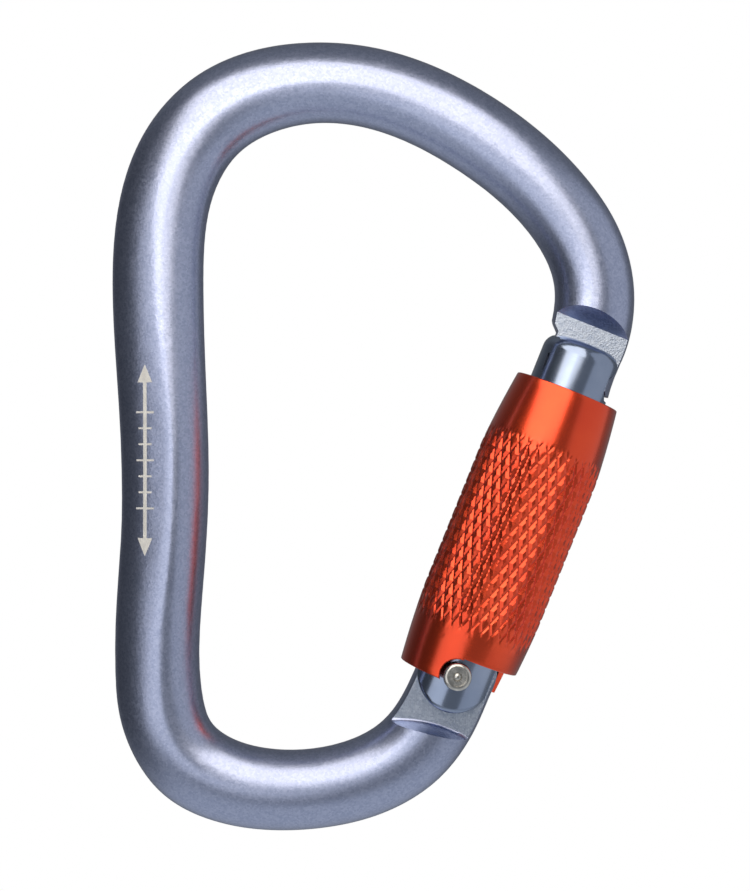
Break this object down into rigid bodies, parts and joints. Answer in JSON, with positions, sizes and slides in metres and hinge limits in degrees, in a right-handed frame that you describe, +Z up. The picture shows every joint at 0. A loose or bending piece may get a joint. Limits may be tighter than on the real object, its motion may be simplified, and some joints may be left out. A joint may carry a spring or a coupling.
{
  "type": "locking carabiner",
  "caption": "Pear-shaped locking carabiner: forged alloy frame, solid swinging gate with a keylock nose, and a knurled spring-return twist sleeve that covers the gate.",
  "frame": {"origin": "inner apex of the top basket, in the middle of the bar's thickness", "axes": "+X across towards the gate, +Y through the thickness towards the back, +Z up along the carabiner"},
  "size_m": [0.0791, 0.0184, 0.1193],
  "materials": {
    "frame_alloy": "forged alloy, fine bead-blasted and blue-grey anodised",
    "gate_alloy": "turned alloy, polished and blue-grey anodised",
    "sleeve_alloy": "turned and knurled alloy, satin orange-red anodised",
    "rivet_steel": "stainless steel, formed head",
    "spring_steel": "bright drawn stainless spring wire and pins",
    "bushing_plastic": "moulded black acetal"
  },
  "bodies": {
    "frame": {"frame": "frame_alloy"},
    "gate": {"gate": "gate_alloy", "hinge_rivet": "rivet_steel", "gate_spring": "spring_steel", "sleeve_spring": "spring_steel", "lower_retaining_ring": "spring_steel", "upper_retaining_ring": "spring_steel"},
    "pusher": {"pusher": "spring_steel"},
    "sleeve": {"sleeve": "sleeve_alloy", "upper_bushing": "bushing_plastic", "lower_bushing": "bushing_plastic"}
  },
  "joints": [
    {"name": "gate_swing", "type": "hinge", "parent": "frame", "child": "gate", "pos_m": [0.0204, 0, -0.0832], "axis": [0, -1, 0], "range_deg": [0, 28], "stiffness_Nm_per_rad": 0.5, "springref_deg": -22.92},
    {"name": "sleeve_twist", "type": "hinge", "parent": "gate", "child": "sleeve", "pos_m": [0.0204, 0, -0.0832], "axis": [-0.373, 0, -0.9278], "range_deg": [0, 100], "stiffness_Nm_per_rad": 0.02, "springref_deg": -57.3, "deforming": ["sleeve_spring"]},
    {"name": "pusher_slide", "type": "slide", "parent": "gate", "child": "pusher", "axis": [0.373, 0, 0.9278], "range_m": [0, 0.0016], "deforming": ["gate_spring"]}
  ],
  "couplings": [
    {"joint": "pusher_slide", "follows": "gate_swing", "m_per_rad": 0.00307}
  ]
}
